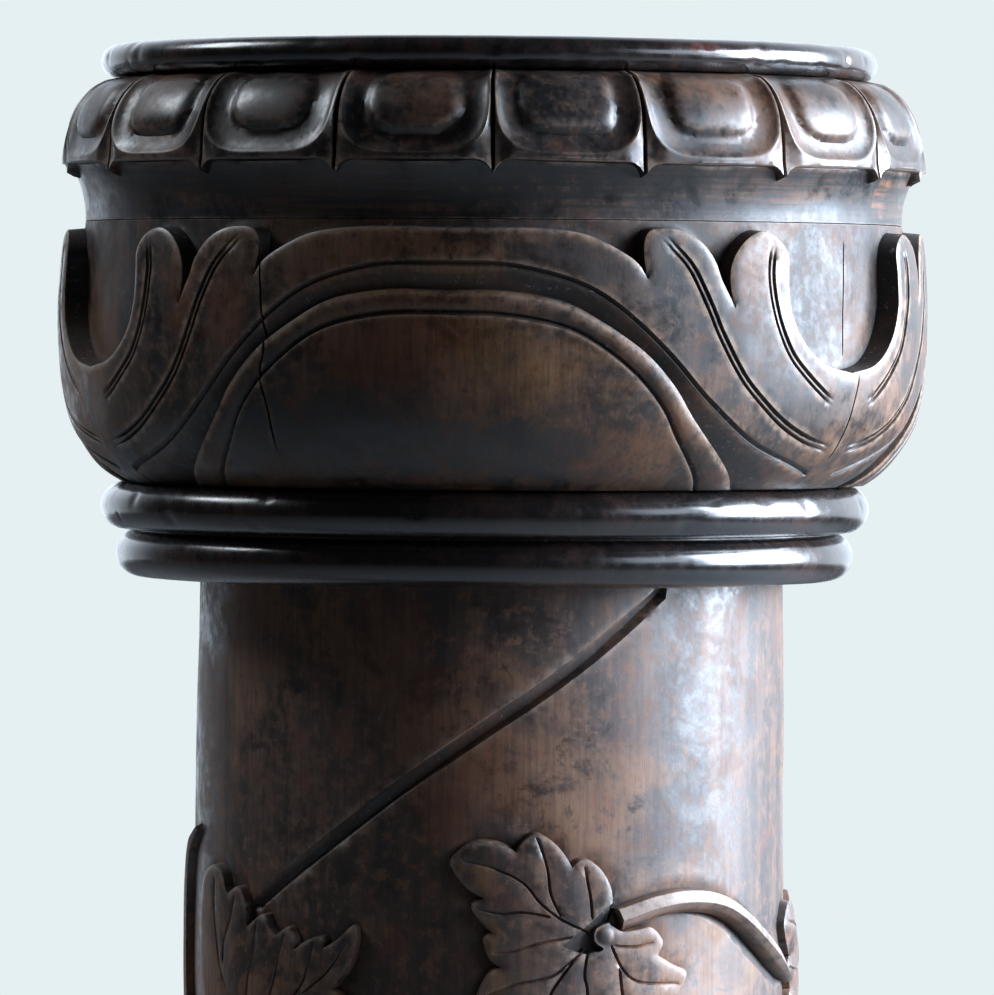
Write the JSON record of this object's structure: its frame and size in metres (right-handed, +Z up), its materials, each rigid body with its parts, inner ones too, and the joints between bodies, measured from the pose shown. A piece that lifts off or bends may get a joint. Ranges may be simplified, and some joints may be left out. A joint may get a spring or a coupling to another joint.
{
  "type": "carved wooden column",
  "caption": "Free-standing carved wooden column: round rim, egg moulding, bowl capital with arches and leaves, vine-carved shaft and plain round base.",
  "frame": {"origin": "middle of the underside of the foot, on the axis of the shaft", "axes": "+Z up the column, -Y the side in the picture, +X to the right in the picture"},
  "size_m": [0.316, 0.316, 1.0498],
  "materials": {
    "turned_wood": "dark stained, waxed and polished",
    "carved_wood": "dark stained and waxed, worn on the high places",
    "shaft_wood": "dark stained and waxed, worn and scratched"
  },
  "bodies": {
    "root": {"top_rim": "turned_wood", "egg_moulding": "carved_wood", "bowl": "carved_wood", "neck_rings": "turned_wood", "shaft": "shaft_wood", "base_ring": "turned_wood", "base_bell": "carved_wood", "foot": "turned_wood"}
  },
  "joints": []
}
